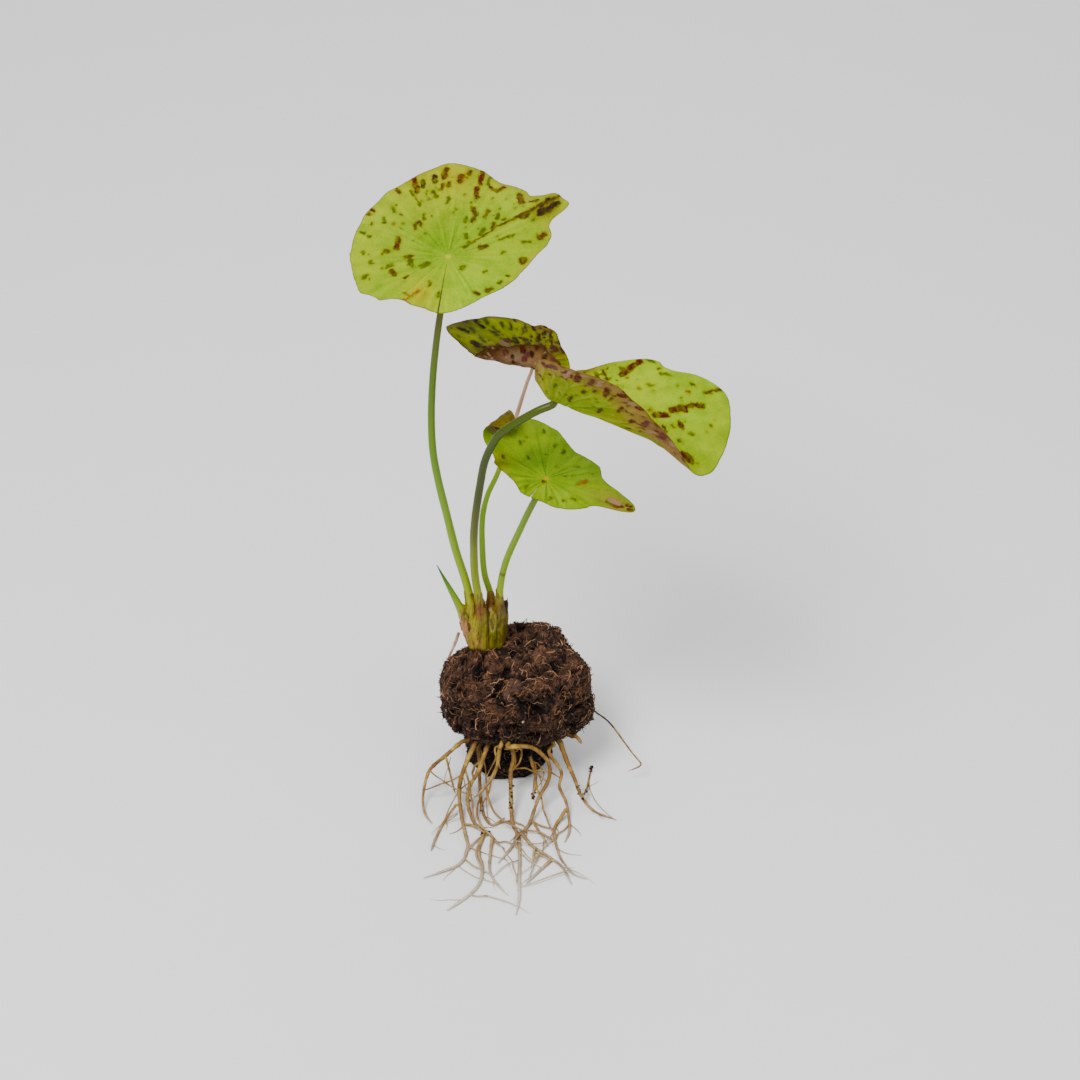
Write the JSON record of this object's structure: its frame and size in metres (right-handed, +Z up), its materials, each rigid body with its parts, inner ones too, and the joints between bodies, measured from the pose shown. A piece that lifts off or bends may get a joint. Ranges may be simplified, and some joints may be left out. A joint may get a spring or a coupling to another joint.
{
  "type": "water plant",
  "caption": "Young tiger lotus with spotted round leaves on long stalks, out of its pot, standing on its soil ball with its roots spread on the surface.",
  "frame": {"origin": "centre of the soil ball's flat underside, on the surface that it stands on", "axes": "+Z up along the plant's height, -Y towards the front, where the roots are fanned out"},
  "size_m": [0.116, 0.1183, 0.2083],
  "materials": {
    "peat": "rough, dark peat and fibre",
    "sheath": "satin, brown and green leaf bases",
    "upper_leaf_green": "satin, yellow-green with red-brown spots",
    "lower_leaf_green": "satin, yellow-green with a brown tip",
    "folded_leaf_green": "satin, yellow-green with purple-brown patches",
    "twisted_leaf_green": "satin, olive green with brown margins",
    "upper_leaf_stalk_green": "smooth, olive green, brownish at the top",
    "folded_leaf_stalk_green": "smooth, dark green",
    "twisted_leaf_stalk_green": "smooth, green, pale pink at the top",
    "lower_leaf_stalk_green": "smooth, green",
    "shoot_green": "smooth, green with a dark edge",
    "pale_root": "matte, pale pink",
    "root": "matte, ochre, paler to the tips"
  },
  "bodies": {
    "root": {"soil_ball": "peat", "crown": "sheath", "upper_leaf": "upper_leaf_green", "upper_leaf_stalk": "upper_leaf_stalk_green", "lower_leaf": "lower_leaf_green", "lower_leaf_stalk": "lower_leaf_stalk_green", "folded_leaf": "folded_leaf_green", "folded_leaf_stalk": "folded_leaf_stalk_green", "twisted_leaf": "twisted_leaf_green", "twisted_leaf_stalk": "twisted_leaf_stalk_green", "young_shoot": "shoot_green", "side_root": "pale_root", "root_left_arc": "root", "root_left_arc_fork": "root", "root_left_long": "root", "root_left_long_fork": "root", "root_left_inner": "root", "root_left_twin": "root", "root_front_left_long": "root", "root_front_left_short": "root", "root_centre_long": "root", "root_cross_left": "root", "root_right_loop": "root", "root_right_loop_twin": "root", "root_front_right": "root", "root_front_right_fork": "root", "root_front_right_spur": "root", "root_right_link": "root", "root_right_inner": "root", "root_right_outer": "root", "root_right_outer_fork": "root", "root_right_sweep": "root", "root_right_stub": "root", "root_far_right": "root", "root_back_left": "root", "root_back_middle": "root", "root_back_right": "root", "root_back_right_fork": "root"}
  },
  "joints": []
}
